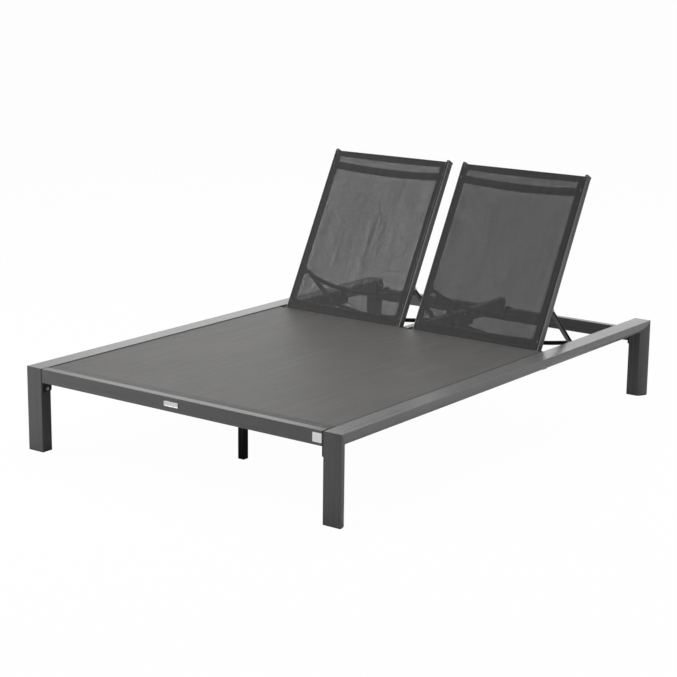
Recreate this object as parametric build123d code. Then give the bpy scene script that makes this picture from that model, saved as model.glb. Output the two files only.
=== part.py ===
from build123d import *
import math
import os

# Double chaise lounger in millimetres. X runs across it, Y from the foot end (minus) to the head end
# (plus), Z up. The origin is on the ground under the middle. Left and right are as seen from the foot end.

# Overall sizes of the frame
overall_width = 1330.0
overall_length = 2000.0
frame_height = 295.0

# Section shared by the side rails and the legs: a broad outward face, a narrower inward face, one flat
# side and one side that curves in from the broad face
tube_face = 67.0
tube_back = 46.0
tube_depth = 44.0
tube_wall = 2.0
edge_round = 1.5

# Channel in the rail that takes the edge of the seat sling and its spline rod
channel_lip = 2.1
channel_mouth = 2.0
channel_bore = 2.6
channel_reach = 6.0
channel_wall = 1.8
spline_play = 0.3

# Cross rails and their end plates
plate_thickness = 5.0
plate_round = 6.0
front_rail_height = 49.0
front_rail_setback = 0.8
hem_rebate = 14.0
front_plate_drop = 34.0
rear_rail_depth = 25.0
rear_rail_height = 49.0
rear_rail_drop = 38.0
rear_plate_top_drop = 12.0
rear_plate_below = 8.0
cross_wall = 2.0

# Centre rail between the backrests
centre_rail_width = 28.0
centre_rail_height = 49.0
centre_rail_wall = 2.0
rail_cap = 2.0
rail_plug = 10.0

# Seat sling and the members under it
sling_thickness = 1.2
sling_play = 0.3
sling_tuck = 3.0
sling_rear = 296.0
crossbar_depth = 36.0
crossbar_height = 20.0
crossbar_gap = 2.0
crossbar_plate_height = 62.0
brace_place = 625.0
brace_radius = 14.0
brace_wall = 2.0
brace_end_drop = 40.0
brace_bow = 40.0
brace_plate_depth = 50.0
brace_plate_height = 46.0
centre_leg_side = 25.0
centre_leg_wall = 2.0
centre_leg_shift = 23.0

# Feet
glide_thickness = 3.0
glide_plug = 15.0
plug_play = 0.2

# Corner keys inside the mitres
key_inset = 14.0
key_width = 24.0
key_arm_length = 90.0
key_thickness = 30.0
key_play = 0.3

# Bolts that hold the end plates
bolt_radius = 4.0
bolt_head_radius = 6.5
bolt_head = 4.0
bolt_nut_radius = 6.0
bolt_nut = 5.0
bolt_edge = 11.0
bolt_socket_radius = 3.0
bolt_socket_depth = 2.0

# Blank plate and blank label on the front rail
name_plate_length = 61.0
name_plate_height = 16.5
name_plate_left = 41.5
name_plate_drop = 14.5
label_width = 35.0
label_height = 30.5
label_edge = 6.5
label_drop = 9.0

# Backrest, laid out from its pivot: distance up the stile, and height above the pivot when it lies flat
recline = 61.92
pivot_place = 315.9
stile_width = 11.0
stile_depth = 31.0
stile_wall = 1.8
stile_reach = 677.0
stile_round = 3.0
stile_side_gap = 28.0
stile_centre_gap = 17.4
stile_lip = 2.0
stile_groove = 2.5
stile_groove_depth = 6.0
stile_recess = 1.6
stile_cap = 8.0
stile_cap_round = 3.5
stile_plug = 12.0
back_spline_radius = 1.0
back_sling_thickness = 1.0
back_sling_start = 5.3
back_sling_top_gap = 1.0
bar_wall = 1.8
bar_setback = 0.3
top_bar_radius = 10.0
top_bar_inset = 10.0
top_bar_bow = 14.0
head_bar_radius = 15.0
head_bar_inset = 56.0
head_bar_bow = 35.0
bottom_bar_radius = 14.0
bottom_bar_place = 37.3
bottom_bar_bow = 32.0

# Backrest pivots
pivot_radius = 5.0
pivot_play = 0.05
pivot_side_play = 0.3
pivot_bush_radius = 8.0
pivot_head_radius = 8.0
pivot_head = 6.0
pivot_spacer_radius = 10.0

# Prop behind each backrest, laid out from its hinge: distance down the arm, and depth behind it
prop_hinge_place = 173.3
prop_hinge_drop = 29.5
prop_length = 224.9
arm_width = 16.0
arm_wall = 2.0
arm_front_offset = 5.0
arm_back_offset = 6.0
arm_hinge_round = 7.0
arm_foot_round = 11.0
arm_flange_clear = 9.0
prop_bar_radius = 8.0
prop_bar_wall = 1.5
prop_bar_place = 30.0
prop_bar_bow = 40.0
foot_rod_radius = 8.0
foot_rod_bow = 26.5
foot_rod_straight = 8.0
foot_rod_bend = 60.0
foot_rest_drop = 32.0
foot_flat_drop = 43.0
ear_thickness = 2.5
ear_play = 0.3
bracket_half_length = 18.0
hinge_pin_radius = 3.0
hinge_pin_head_radius = 5.5
hinge_pin_head = 3.5

# Racks for the foot rods
rack_plate = 3.0
rack_ledge = 9.0
rack_bottom_drop = 60.0
rack_top_drop = 8.0
rack_rod_play = 0.5
rack_notches = 4
rack_notch_radius = 9.0
rack_notch_rise = 4.0
rack_end = 7.0
rack_end_gap = 7.5
rack_stop_rise = 3.0
rod_end_gap = 3.0
rack_screw_radius = 2.5
rack_screw_head_radius = 4.0
rack_screw_head = 2.5
rack_screw_drop = 16.0
rack_screw_inset = 25.0

# Bumpers on the rear rail, under the stiles
bumper_width = 16.0
bumper_depth = 20.0
bumper_round = 2.0

# How much of the foot rod's sloping runs its long middle arc takes
foot_rod_arc_share = 0.8

# One overrun serves all cuts
overrun = 5.0

# Places worked out from the sizes above
half_length = overall_length / 2
inner_half = overall_width / 2 - tube_face
rail_end = inner_half - plate_thickness
mouth_top = frame_height - channel_lip
mouth_floor = mouth_top - channel_mouth
sling_middle = (mouth_top + mouth_floor) / 2
bore_height = mouth_top - channel_bore
front_face = -half_length
front_inner = front_face + tube_depth
front_rail_bottom = frame_height - front_rail_height
rear_rail_top = frame_height - rear_rail_drop
rear_rail_bottom = rear_rail_top - rear_rail_height
rear_rail_front = half_length - rear_rail_depth
centre_half = centre_rail_width / 2
centre_rail_bottom = frame_height - centre_rail_height
centre_rail_start = sling_rear + crossbar_gap
pivot_height = frame_height - stile_depth / 2
half_stile = stile_width / 2
half_depth = stile_depth / 2
outer_stile = inner_half - stile_side_gap - half_stile
inner_stile = centre_half + stile_centre_gap + half_stile
outer_arm = outer_stile - half_stile - ear_thickness - ear_play - arm_width / 2
inner_arm = inner_stile + half_stile + ear_thickness + ear_play + arm_width / 2
stile_face = half_depth - stile_recess
brace_end_height = frame_height - brace_end_drop
back_sling_end = stile_reach - back_sling_top_gap
top_bar_place = stile_reach - top_bar_inset
head_bar_place = stile_reach - head_bar_inset
foot_rest_height = frame_height - foot_rest_drop
foot_flat_height = frame_height - foot_flat_drop
rack_bottom = frame_height - rack_bottom_drop
rack_top = frame_height - rack_top_drop
rack_screw_height = frame_height - rack_screw_drop


def turned(reach, height, angle):
    """A place laid out flat from a hinge, turned about that hinge."""
    a = math.radians(angle)
    y = reach * math.cos(a) - height * math.sin(a)
    z = reach * math.sin(a) + height * math.cos(a)
    return y, z


hinge_y, hinge_z = turned(prop_hinge_place, -prop_hinge_drop, recline)
hinge_y = hinge_y + pivot_place
hinge_z = hinge_z + pivot_height
flat_hinge_height = pivot_height - prop_hinge_drop
prop_rest_angle = -math.degrees(math.asin((hinge_z - foot_rest_height) / prop_length))
prop_flat_angle = -math.degrees(math.asin((flat_hinge_height - foot_flat_height) / prop_length))
prop_travel = prop_flat_angle - prop_rest_angle + recline
foot_rest_place = hinge_y + prop_length * math.cos(math.radians(prop_rest_angle))
foot_flat_place = pivot_place + prop_hinge_place + prop_length * math.cos(math.radians(prop_flat_angle))


def block(x0, x1, y0, y1, z0, z1):
    """A box between two corners."""
    return Pos(x0, y0, z0) * Box(x1 - x0, y1 - y0, z1 - z0, align=(Align.MIN, Align.MIN, Align.MIN))


def rod(radius, x0, x1, y, z):
    """A round bar that lies across the lounger."""
    across = Plane(origin=(x0, y, z), x_dir=(0, 1, 0), z_dir=(1, 0, 0))
    return across * Cylinder(radius, x1 - x0, align=(Align.CENTER, Align.CENTER, Align.MIN))


def prism(points, x0, x1):
    """An outline of Y and Z places, given its width across the lounger."""
    side = Plane(origin=(x0, 0, 0), x_dir=(0, 1, 0), z_dir=(1, 0, 0))
    outline = make_face(Polyline(*points, close=True))
    return extrude(side * outline, amount=x1 - x0)


def mirrored(shape):
    """The same piece on the other side of the lounger."""
    return mirror(shape, about=Plane.YZ)


def both_sides(shapes):
    """Pieces of the right side with their copies on the left side."""
    return Compound(children=[*shapes, *[mirrored(shape) for shape in shapes]])


def rounded_plate(x0, x1, y0, y1, z0, z1):
    """An upright plate whose corners are rounded."""
    plate = block(x0, x1, y0, y1, z0, z1)
    return fillet(plate.edges().filter_by(Axis.X), plate_round)


def box_tube(x0, x1, y0, y1, z0, z1, wall):
    """A square tube that lies across the lounger, with small rounded edges."""
    outer = fillet(block(x0, x1, y0, y1, z0, z1).edges().filter_by(Axis.X), edge_round)
    return outer - block(x0 - overrun, x1 + overrun, y0 + wall, y1 - wall, z0 + wall, z1 - wall)


def bowed_bar(radius, wall, x0, x1, y, z, bow, toward):
    """A round tube between two upright planes, bowed by a set amount towards a direction in Y and Z."""
    middle = (x0 + x1) / 2
    half = (x1 - x0) / 2
    sweep_radius = (half * half + bow * bow) / (2 * bow)
    reach = half + overrun
    lift = bow - sweep_radius + math.sqrt(sweep_radius * sweep_radius - reach * reach)
    start = (middle - reach, y + lift * toward[0], z + lift * toward[1])
    crown = (middle, y + bow * toward[0], z + bow * toward[1])
    finish = (middle + reach, y + lift * toward[0], z + lift * toward[1])
    path = ThreePointArc(start, crown, finish)
    section = Circle(radius) - Circle(radius - wall) if wall else Circle(radius)
    bar = sweep(Plane(origin=path @ 0, z_dir=path % 0) * section, path=path)
    span = bow + radius + overrun
    return bar & block(x0, x1, y - span, y + span, z - span, z + span)


def tube_outline(inset):
    """The section of the rails and legs, drawn from the corner of its broad face and its flat side."""
    narrowing = tube_face - tube_back
    sweep_radius = (narrowing * narrowing + tube_depth * tube_depth) / (2 * narrowing) - inset
    centre = tube_face - inset - sweep_radius
    top = -inset
    bottom = inset - tube_depth
    middle = (top + bottom) / 2
    outer_top = (centre + math.sqrt(sweep_radius ** 2 - top ** 2), top)
    outer_middle = (centre + math.sqrt(sweep_radius ** 2 - middle ** 2), middle)
    outer_bottom = (centre + math.sqrt(sweep_radius ** 2 - bottom ** 2), bottom)
    curve = ThreePointArc(outer_top, outer_middle, outer_bottom)
    rest = Polyline(outer_bottom, (inset, bottom), (inset, top), outer_top)
    return make_face(curve + rest)


def sketch_box(x0, x1, y0, y1):
    """A flat rectangle between two corners."""
    return Pos((x0 + x1) / 2, (y0 + y1) / 2) * Rectangle(x1 - x0, y1 - y0)


def tube_section(with_channel):
    """The hollow section, with the sling channel in its inner top corner on a side rail."""
    outer = fillet(tube_outline(0).vertices(), edge_round)
    hollow = tube_outline(tube_wall)
    if not with_channel:
        return outer - hollow
    bore_depth = channel_lip + channel_bore
    block_depth = bore_depth + channel_bore + channel_wall
    block_reach = channel_reach + channel_bore + channel_wall
    solid = outer - (hollow - sketch_box(0, block_reach, -block_depth, 0))
    mouth = sketch_box(-overrun, channel_reach, -channel_lip - channel_mouth, -channel_lip)
    bore = Pos(channel_reach, -bore_depth) * Circle(channel_bore)
    return solid - mouth - bore


def side_rail():
    """The right side rail, mitred at both ends."""
    start = Plane(origin=(inner_half, half_length, frame_height), x_dir=(1, 0, 0), z_dir=(0, -1, 0))
    tube = extrude(start * tube_section(True), amount=overall_length)
    foot_corner = (-half_length, frame_height)
    head_corner = (half_length, frame_height)
    low = frame_height - tube_depth
    keep = [foot_corner, head_corner, (half_length - tube_depth, low), (tube_depth - half_length, low)]
    rail = tube & prism(keep, inner_half - overrun, overall_width / 2 + overrun)
    for y, z in [*rail_bolt_places(), rear_bolt()]:
        rail = rail - rod(bolt_radius, inner_half - overrun, inner_half + tube_wall + overrun, y, z)
    pivot_hole = rod(pivot_radius, inner_half - overrun, inner_half + overrun, pivot_place, pivot_height)
    rail = rail - pivot_hole
    for y in rack_screw_places():
        hole = rod(rack_screw_radius, inner_half - overrun, inner_half + overrun, y, rack_screw_height)
        rail = rail - hole
    return rail


def leg(bolt_place, bolt_height):
    """The right front leg, mitred at its top, with the hole for its end plate's bolt."""
    top = Plane(origin=(inner_half, front_face, frame_height), x_dir=(1, 0, 0), z_dir=(0, 0, -1))
    tube = extrude(top * tube_section(False), amount=frame_height - glide_thickness)
    low = frame_height - tube_depth
    inner = front_face + tube_depth
    keep = [(front_face, frame_height), (inner, low), (inner, glide_thickness), (front_face, glide_thickness)]
    post = tube & prism(keep, inner_half - overrun, overall_width / 2 + overrun)
    inside = inner_half + tube_wall + overrun
    return post - rod(bolt_radius, inner_half - overrun, inside, bolt_place, bolt_height)


def glide():
    """The foot of the right front leg: a thin sole and a plug inside the tube."""
    top = Plane(origin=(inner_half, front_face, glide_thickness), x_dir=(1, 0, 0), z_dir=(0, 0, -1))
    sole = extrude(top * fillet(tube_outline(0).vertices(), edge_round), amount=glide_thickness)
    inside = tube_wall + plug_play
    upper = Plane(origin=(inner_half, front_face, glide_thickness + glide_plug), x_dir=(1, 0, 0), z_dir=(0, 0, -1))
    plug = extrude(upper * tube_outline(inside), amount=glide_plug)
    return sole + plug


def corner_key():
    """The cast angle inside the front right mitre."""
    x0 = inner_half + key_inset
    x1 = x0 + key_width
    y0 = front_face + tube_wall + key_play
    z1 = frame_height - tube_wall - key_play
    along_rail = block(x0, x1, y0, y0 + key_arm_length, z1 - key_thickness, z1)
    down_leg = block(x0, x1, y0, y0 + key_thickness, z1 - key_arm_length, z1)
    return along_rail + down_leg


def head_end(shape):
    """A piece of the foot end, mirrored to the head end."""
    return mirror(shape, about=Plane.XZ)


def front_bolt():
    """Place of the bolt in the front end plate, below the front rail."""
    return front_face + tube_depth / 2, frame_height - front_rail_height - front_plate_drop + bolt_edge


def rear_bolt():
    """Place of the bolt in the rear end plate, above the rear rail."""
    return half_length - tube_depth / 2, frame_height - rear_plate_top_drop - bolt_edge


def rail_bolt_places():
    """Places of the bolts that hold the plates of the seat members to the side rail."""
    seat_bolt_place = centre_rail_start + crossbar_depth - bolt_edge
    seat_bolt_height = frame_height - tube_depth + tube_wall + bolt_nut_radius + plug_play
    brace_bolt_height = brace_end_height - brace_radius + brace_plate_height - bolt_edge
    brace_reach = brace_plate_depth / 2 - bolt_edge
    return [
        (seat_bolt_place, seat_bolt_height),
        (-brace_place - brace_reach, brace_bolt_height),
        (-brace_place + brace_reach, brace_bolt_height),
    ]


def front_rail_outline(inset):
    """Section of the front rail: a tube with a step at the back for the hem of the seat sling."""
    y0 = front_face + front_rail_setback + inset
    y1 = front_inner - inset
    step_y = front_inner - hem_rebate - inset
    z0 = front_rail_bottom + inset
    step_z = mouth_floor - inset
    z1 = frame_height - inset
    return [(y0, z0), (y1, z0), (y1, step_z), (step_y, step_z), (step_y, z1), (y0, z1)]


def front_rail():
    """The cross rail at the foot end, between its end plates."""
    outer = prism(front_rail_outline(0), -rail_end, rail_end)
    long_edges = outer.edges().filter_by(Axis.X)
    step_edges = [edge for edge in long_edges if abs(edge.center().Z - mouth_floor) < edge_round]
    outer = fillet([edge for edge in long_edges if edge not in step_edges], edge_round)
    return outer - prism(front_rail_outline(cross_wall), -rail_end - overrun, rail_end + overrun)


def rear_rail():
    """The cross rail at the head end, lower than the side rails."""
    return box_tube(
        -rail_end, rail_end, rear_rail_front, half_length, rear_rail_bottom, rear_rail_top, cross_wall
    )


def drilled(plate, places, radius):
    """A right-hand end plate with its holes."""
    for y, z in places:
        plate = plate - rod(radius, rail_end - overrun, inner_half + overrun, y, z)
    return plate


def end_plates():
    """The plates on the ends of the cross rails and of the members under the seat."""
    front_low = front_rail_bottom - front_plate_drop
    front = rounded_plate(
        rail_end, inner_half, front_face + front_rail_setback, front_inner, front_low, mouth_floor
    )
    rear_high = frame_height - rear_plate_top_drop
    rear = rounded_plate(
        rail_end, inner_half, half_length - tube_depth, half_length, rear_rail_bottom - rear_plate_below, rear_high
    )
    seat_low = centre_rail_bottom - crossbar_height
    seat_end = centre_rail_start + crossbar_depth
    seat = rounded_plate(
        rail_end, inner_half, centre_rail_start, seat_end, seat_low, seat_low + crossbar_plate_height
    )
    brace_low = brace_end_height - brace_radius
    brace_front = -brace_place - brace_plate_depth / 2
    brace_rear = -brace_place + brace_plate_depth / 2
    brace = rounded_plate(
        rail_end, inner_half, brace_front, brace_rear, brace_low, brace_low + brace_plate_height
    )
    places = rail_bolt_places()
    seat = drilled(seat, places[:1], bolt_radius)
    seat = drilled(seat, [(pivot_place, pivot_height)], pivot_radius)
    plates = [
        drilled(front, [front_bolt()], bolt_radius),
        drilled(rear, [rear_bolt()], bolt_radius),
        seat,
        drilled(brace, places[1:], bolt_radius),
    ]
    return both_sides(plates)


def plate_bolt(y, z):
    """A socket-head bolt through an end plate, with its nut inside the tube."""
    nut_start = inner_half + tube_wall
    head = rod(bolt_head_radius, rail_end - bolt_head, rail_end, y, z)
    socket = rod(
        bolt_socket_radius, rail_end - bolt_head - overrun, rail_end - bolt_head + bolt_socket_depth, y, z
    )
    shank = rod(bolt_radius, rail_end, nut_start + bolt_nut, y, z)
    nut = rod(bolt_nut_radius, nut_start, nut_start + bolt_nut, y, z)
    return (head - socket) + shank + nut


def frame_bolts():
    """Every bolt that holds an end plate to a leg or a side rail."""
    places = [front_bolt(), rear_bolt(), *rail_bolt_places()]
    return both_sides([plate_bolt(y, z) for y, z in places])


def centre_rail():
    """The rail between the backrests, notched over the rear cross rail."""
    start = centre_rail_start + rail_cap
    end = half_length - rail_cap
    outer = block(-centre_half, centre_half, start, end, centre_rail_bottom, frame_height)
    outer = fillet(outer.edges().filter_by(Axis.Y), edge_round)
    outer = outer - block(
        -centre_half - overrun,
        centre_half + overrun,
        rear_rail_front,
        half_length,
        centre_rail_bottom - overrun,
        rear_rail_top,
    )
    wall = centre_rail_wall
    side = centre_half - wall
    ceiling = frame_height - wall
    deep = block(-side, side, start - overrun, rear_rail_front - wall, centre_rail_bottom + wall, ceiling)
    shallow = block(-side, side, start - overrun, end + overrun, rear_rail_top + wall, ceiling)
    pivot_hole = rod(
        pivot_radius, -centre_half - overrun, centre_half + overrun, pivot_place, pivot_height
    )
    rail = outer - deep - shallow - pivot_hole
    for y in rack_screw_places():
        rail = rail - rod(
            rack_screw_radius, -centre_half - overrun, centre_half + overrun, y, rack_screw_height
        )
    return rail


def rail_cap_piece(y0, y1, bottom, inward):
    """A cap with a plug that reaches into the centre rail, ahead or behind."""
    face = fillet(
        block(-centre_half, centre_half, y0, y1, bottom, frame_height).edges().filter_by(Axis.Y), edge_round
    )
    gap = centre_rail_wall + plug_play
    side = centre_half - gap
    plug_start = min(y0, y0 + inward)
    plug_end = max(y1, y1 + inward)
    return face + block(-side, side, plug_start, plug_end, bottom + gap, frame_height - gap)


def centre_rail_caps():
    """The caps at both ends of the centre rail."""
    start = centre_rail_start
    front = rail_cap_piece(start, start + rail_cap, centre_rail_bottom, rail_plug)
    rear = rail_cap_piece(half_length - rail_cap, half_length, rear_rail_top, -rail_plug)
    return Compound(children=[front, rear])


def seat_crossbar():
    """The cross member under the rear edge of the seat, which carries the centre rail."""
    seat_end = centre_rail_start + crossbar_depth
    low = centre_rail_bottom - crossbar_height
    return box_tube(-rail_end, rail_end, centre_rail_start, seat_end, low, centre_rail_bottom, cross_wall)


def seat_brace(wall):
    """The bowed tube under the foot half of the seat."""
    return bowed_bar(
        brace_radius, wall, -rail_end, rail_end, -brace_place, brace_end_height, brace_bow, (0, -1)
    )


def centre_leg():
    """The square leg under the seat brace, with a saddle cut to the brace where its bow is lowest."""
    half = centre_leg_side / 2
    x = -centre_leg_shift
    top = brace_end_height - brace_bow
    post = block(x - half, x + half, -brace_place - half, -brace_place + half, glide_thickness, top)
    post = fillet(post.edges().filter_by(Axis.Z), edge_round)
    inner = half - centre_leg_wall
    bore = block(
        x - inner, x + inner, -brace_place - inner, -brace_place + inner, glide_thickness - overrun, top + overrun
    )
    saddle = rod(brace_radius, x - centre_leg_side, x + centre_leg_side, -brace_place, top)
    return post - bore - saddle


def centre_leg_foot():
    """The foot of the centre leg."""
    half = centre_leg_side / 2
    x = -centre_leg_shift
    sole = block(x - half, x + half, -brace_place - half, -brace_place + half, 0, glide_thickness)
    sole = fillet(sole.edges().filter_by(Axis.Z), edge_round)
    inner = half - centre_leg_wall - plug_play
    plug = block(
        x - inner,
        x + inner,
        -brace_place - inner,
        -brace_place + inner,
        glide_thickness,
        glide_thickness + glide_plug,
    )
    return sole + plug


def seat_sling():
    """The stretched seat sheet, from its front hem to its rear hem."""
    reach = inner_half + sling_tuck
    low = sling_middle - sling_thickness / 2
    front = front_inner - hem_rebate + sling_play
    narrow = rail_end - sling_play
    hem = block(-narrow, narrow, front, front_inner + sling_play, low, low + sling_thickness)
    sheet = block(-reach, reach, front_inner + sling_play, sling_rear, low, low + sling_thickness)
    return hem + sheet


def seat_splines():
    """The rods in the side rails that hold the edges of the seat sheet."""
    radius = channel_bore - spline_play
    side = Plane(
        origin=(inner_half + channel_reach, front_inner + tube_depth, bore_height),
        x_dir=(1, 0, 0),
        z_dir=(0, 1, 0),
    )
    length = sling_rear - front_inner - tube_depth
    right = side * Cylinder(radius, length, align=(Align.CENTER, Align.CENTER, Align.MIN))
    return both_sides([right])


def name_plate():
    """The small blank plate on the front rail."""
    top = frame_height - name_plate_drop
    face = front_face + front_rail_setback
    return block(
        -name_plate_left, name_plate_length - name_plate_left, front_face, face, top - name_plate_height, top
    )


def blank_label():
    """The blank square label beside the right front leg."""
    right = inner_half - label_edge
    top = frame_height - label_drop
    face = front_face + front_rail_setback
    return block(right - label_width, right, front_face, face, top - label_height, top)


def pivot_bolts():
    """The bolts that the backrests turn on: one at each side rail and one through the centre rail."""
    head_end_x = outer_stile - half_stile - pivot_side_play
    nut_start = inner_half + tube_wall
    shank = rod(pivot_radius, head_end_x, nut_start + bolt_nut, pivot_place, pivot_height)
    head = rod(pivot_head_radius, head_end_x - pivot_head, head_end_x, pivot_place, pivot_height)
    nut = rod(bolt_nut_radius, nut_start, nut_start + bolt_nut, pivot_place, pivot_height)
    side_bolt = shank + head + nut
    reach = inner_stile + half_stile + pivot_side_play
    middle = rod(pivot_radius, -reach, reach, pivot_place, pivot_height)
    right_head = rod(pivot_head_radius, reach, reach + pivot_head, pivot_place, pivot_height)
    centre_bolt = middle + right_head + mirrored(right_head)
    return Compound(children=[side_bolt, mirrored(side_bolt), centre_bolt])


def pivot_spacer(x0, x1):
    """A tube round a pivot bolt."""
    outer = rod(pivot_spacer_radius, x0, x1, pivot_place, pivot_height)
    return outer - rod(pivot_radius, x0 - overrun, x1 + overrun, pivot_place, pivot_height)


def pivot_spacers():
    """The tubes that keep the stiles away from the rails."""
    at_side = pivot_spacer(outer_stile + half_stile + pivot_side_play, rail_end)
    at_centre = pivot_spacer(centre_half, inner_stile - half_stile - pivot_side_play)
    return both_sides([at_side, at_centre])


def rack_screw_places():
    """Places along the rail of the screws in a rack."""
    return [foot_rest_place + rack_screw_inset, foot_flat_place - rack_screw_inset]


def rack(wall_x, outward):
    """A notched rack on an upright wall. The rod lies in its first seat and drops to its last one."""
    plate_x = wall_x - outward * rack_plate
    ledge_x = plate_x - outward * rack_ledge
    low_x = min(plate_x, ledge_x)
    high_x = max(plate_x, ledge_x)
    reach = foot_rod_radius + rack_end_gap
    y0 = foot_rest_place - reach - rack_end
    y1 = foot_flat_place + reach + rack_end
    first = foot_rest_height - foot_rod_radius - rack_rod_play
    last = foot_flat_height - foot_rod_radius - rack_rod_play
    stop = foot_rest_height + rack_stop_rise
    outline = [
        (y0, rack_bottom),
        (y1, rack_bottom),
        (y1, stop),
        (y1 - rack_end, stop),
        (y1 - rack_end, last),
        (foot_flat_place, last),
        (foot_rest_place, first),
        (foot_rest_place, stop),
        (y0, stop),
    ]
    ledge = prism(outline, low_x, high_x)
    seat = rod(foot_rod_radius + rack_rod_play, low_x - overrun, high_x + overrun, foot_rest_place, foot_rest_height)
    ledge = ledge - seat
    pitch = (foot_flat_place - foot_rest_place) / (rack_notches + 1)
    for number in range(1, rack_notches + 1):
        y = foot_rest_place + number * pitch
        z = first + (last - first) * number / (rack_notches + 1) + rack_notch_rise
        ledge = ledge - rod(rack_notch_radius, low_x - overrun, high_x + overrun, y, z)
    back = block(min(wall_x, plate_x), max(wall_x, plate_x), y0, y1, rack_bottom, rack_top)
    for y in rack_screw_places():
        back = back - rod(rack_screw_radius, low_x - overrun, high_x + 2 * overrun, y, rack_screw_height)
    return ledge + back


def rack_screw(wall_x, outward, y):
    """A screw that holds a rack to a tube wall."""
    face = wall_x - outward * rack_plate
    top = face - outward * rack_screw_head
    tip = wall_x + outward * tube_wall
    head = rod(rack_screw_head_radius, min(face, top), max(face, top), y, rack_screw_height)
    shank = rod(rack_screw_radius, min(face, tip), max(face, tip), y, rack_screw_height)
    return head + shank


def rack_screws():
    """All screws of the four racks."""
    at_side = [rack_screw(inner_half, 1, y) for y in rack_screw_places()]
    at_centre = [rack_screw(centre_half, -1, y) for y in rack_screw_places()]
    return both_sides(at_side + at_centre)


def rest_bumpers():
    """The rubber blocks on the rear rail that the stiles lie on."""
    rise = pivot_height - half_depth - rear_rail_top - pivot_side_play
    middle = half_length - rear_rail_depth / 2
    pads = []
    for x in (inner_stile, outer_stile):
        pad = block(
            x - bumper_width / 2,
            x + bumper_width / 2,
            middle - bumper_depth / 2,
            middle + bumper_depth / 2,
            rear_rail_top,
            rear_rail_top + rise,
        )
        pads.append(fillet(pad.faces().sort_by(Axis.Z)[-1].edges(), bumper_round))
    return both_sides(pads)


def raised(shape):
    """A backrest piece laid out flat from its pivot, turned up to the photographed position."""
    return Pos(0, pivot_place, pivot_height) * Rot(recline, 0, 0) * shape


def stile(x, lip_side):
    """A stile with a rounded lower end and a groove for the sling beside its outer lip."""
    w = half_stile
    d = half_depth
    lip = w - stile_lip
    groove = lip - stile_groove
    side = lip_side
    outline = [
        (-side * w, -d),
        (side * w, -d),
        (side * w, d),
        (side * lip, d),
        (side * lip, d - stile_groove_depth),
        (side * groove, d - stile_groove_depth),
        (side * groove, stile_face),
        (-side * w, stile_face),
    ]
    wall = stile_wall
    hollow = [
        (side * (wall - w), -d + wall),
        (side * (w - wall), -d + wall),
        (side * (w - wall), d - stile_groove_depth - wall),
        (side * (groove - wall), d - stile_groove_depth - wall),
        (side * (groove - wall), stile_face - wall),
        (side * (wall - w), stile_face - wall),
    ]
    outer = make_face(Polyline(*outline, close=True))
    back_corners = outer.vertices().group_by(Axis.Y)[0]
    outer = fillet(back_corners, stile_round)
    inner = make_face(Polyline(*hollow, close=True))
    inner = fillet(inner.vertices().group_by(Axis.Y)[0], stile_round - wall)
    top = Plane(origin=(x, stile_reach, 0), x_dir=(1, 0, 0), z_dir=(0, -1, 0))
    solid = extrude(top * outer, amount=stile_reach + d, dir=(0, -1, 0))
    core = extrude(top * inner, amount=stile_reach - d, dir=(0, -1, 0))
    straight = block(x - w - overrun, x + w + overrun, 0, stile_reach + overrun, -d, d)
    rounded = rod(d, x - w - overrun, x + w + overrun, 0, 0)
    tube = (solid & (straight + rounded)) - core
    return raised(tube - rod(pivot_bush_radius, x - w - overrun, x + w + overrun, 0, 0))


def stile_cap_piece(x):
    """The rounded cap on the top of a stile, with its plug."""
    w = half_stile
    d = half_depth
    cap = block(x - w, x + w, stile_reach, stile_reach + stile_cap, -d, stile_face)
    cap = fillet(cap.faces().sort_by(Axis.Y)[-1].edges(), stile_cap_round)
    inset = stile_wall + plug_play
    ceiling = d - stile_groove_depth - inset
    side = w - stile_round
    plug = block(x - side, x + side, stile_reach - stile_plug, stile_reach, -d + inset, ceiling)
    return raised(cap + plug)


def stile_bar(radius, place, bow):
    """A bar between the stiles, bowed backwards, its ends just behind the face under the sling."""
    height = stile_face - radius - bar_setback
    x0 = inner_stile + half_stile
    x1 = outer_stile - half_stile
    return raised(bowed_bar(radius, bar_wall, x0, x1, place, height, bow, (0, -1)))


def back_sling():
    """The stretched sheet of a backrest, edge to edge between the outer grooves."""
    edge = half_stile - stile_lip - stile_groove / 2
    low = stile_face + sling_play
    sheet = block(
        inner_stile - edge, outer_stile + edge, back_sling_start, back_sling_end, low, low + back_sling_thickness
    )
    return raised(sheet)


def back_splines():
    """The rods in the stile grooves that hold the sheet."""
    edge = half_stile - stile_lip - stile_groove / 2
    height = half_depth - stile_groove_depth + stile_groove / 2
    rods = []
    for x in (inner_stile - edge, outer_stile + edge):
        start = Plane(origin=(x, stile_wall + back_sling_start, height), x_dir=(1, 0, 0), z_dir=(0, 1, 0))
        length = back_sling_end - back_sling_start - stile_wall
        spline = Cylinder(back_spline_radius, length, align=(Align.CENTER, Align.CENTER, Align.MIN))
        rods.append(raised(start * spline))
    return Compound(children=rods)


def pivot_bushes():
    """The plain bushes in the lower ends of the stiles."""
    bushes = []
    for x in (inner_stile, outer_stile):
        outer = rod(pivot_bush_radius, x - half_stile, x + half_stile, 0, 0)
        bore = rod(pivot_radius + pivot_play, x - half_stile - overrun, x + half_stile + overrun, 0, 0)
        bushes.append(raised(outer - bore))
    return Compound(children=bushes)


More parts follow.
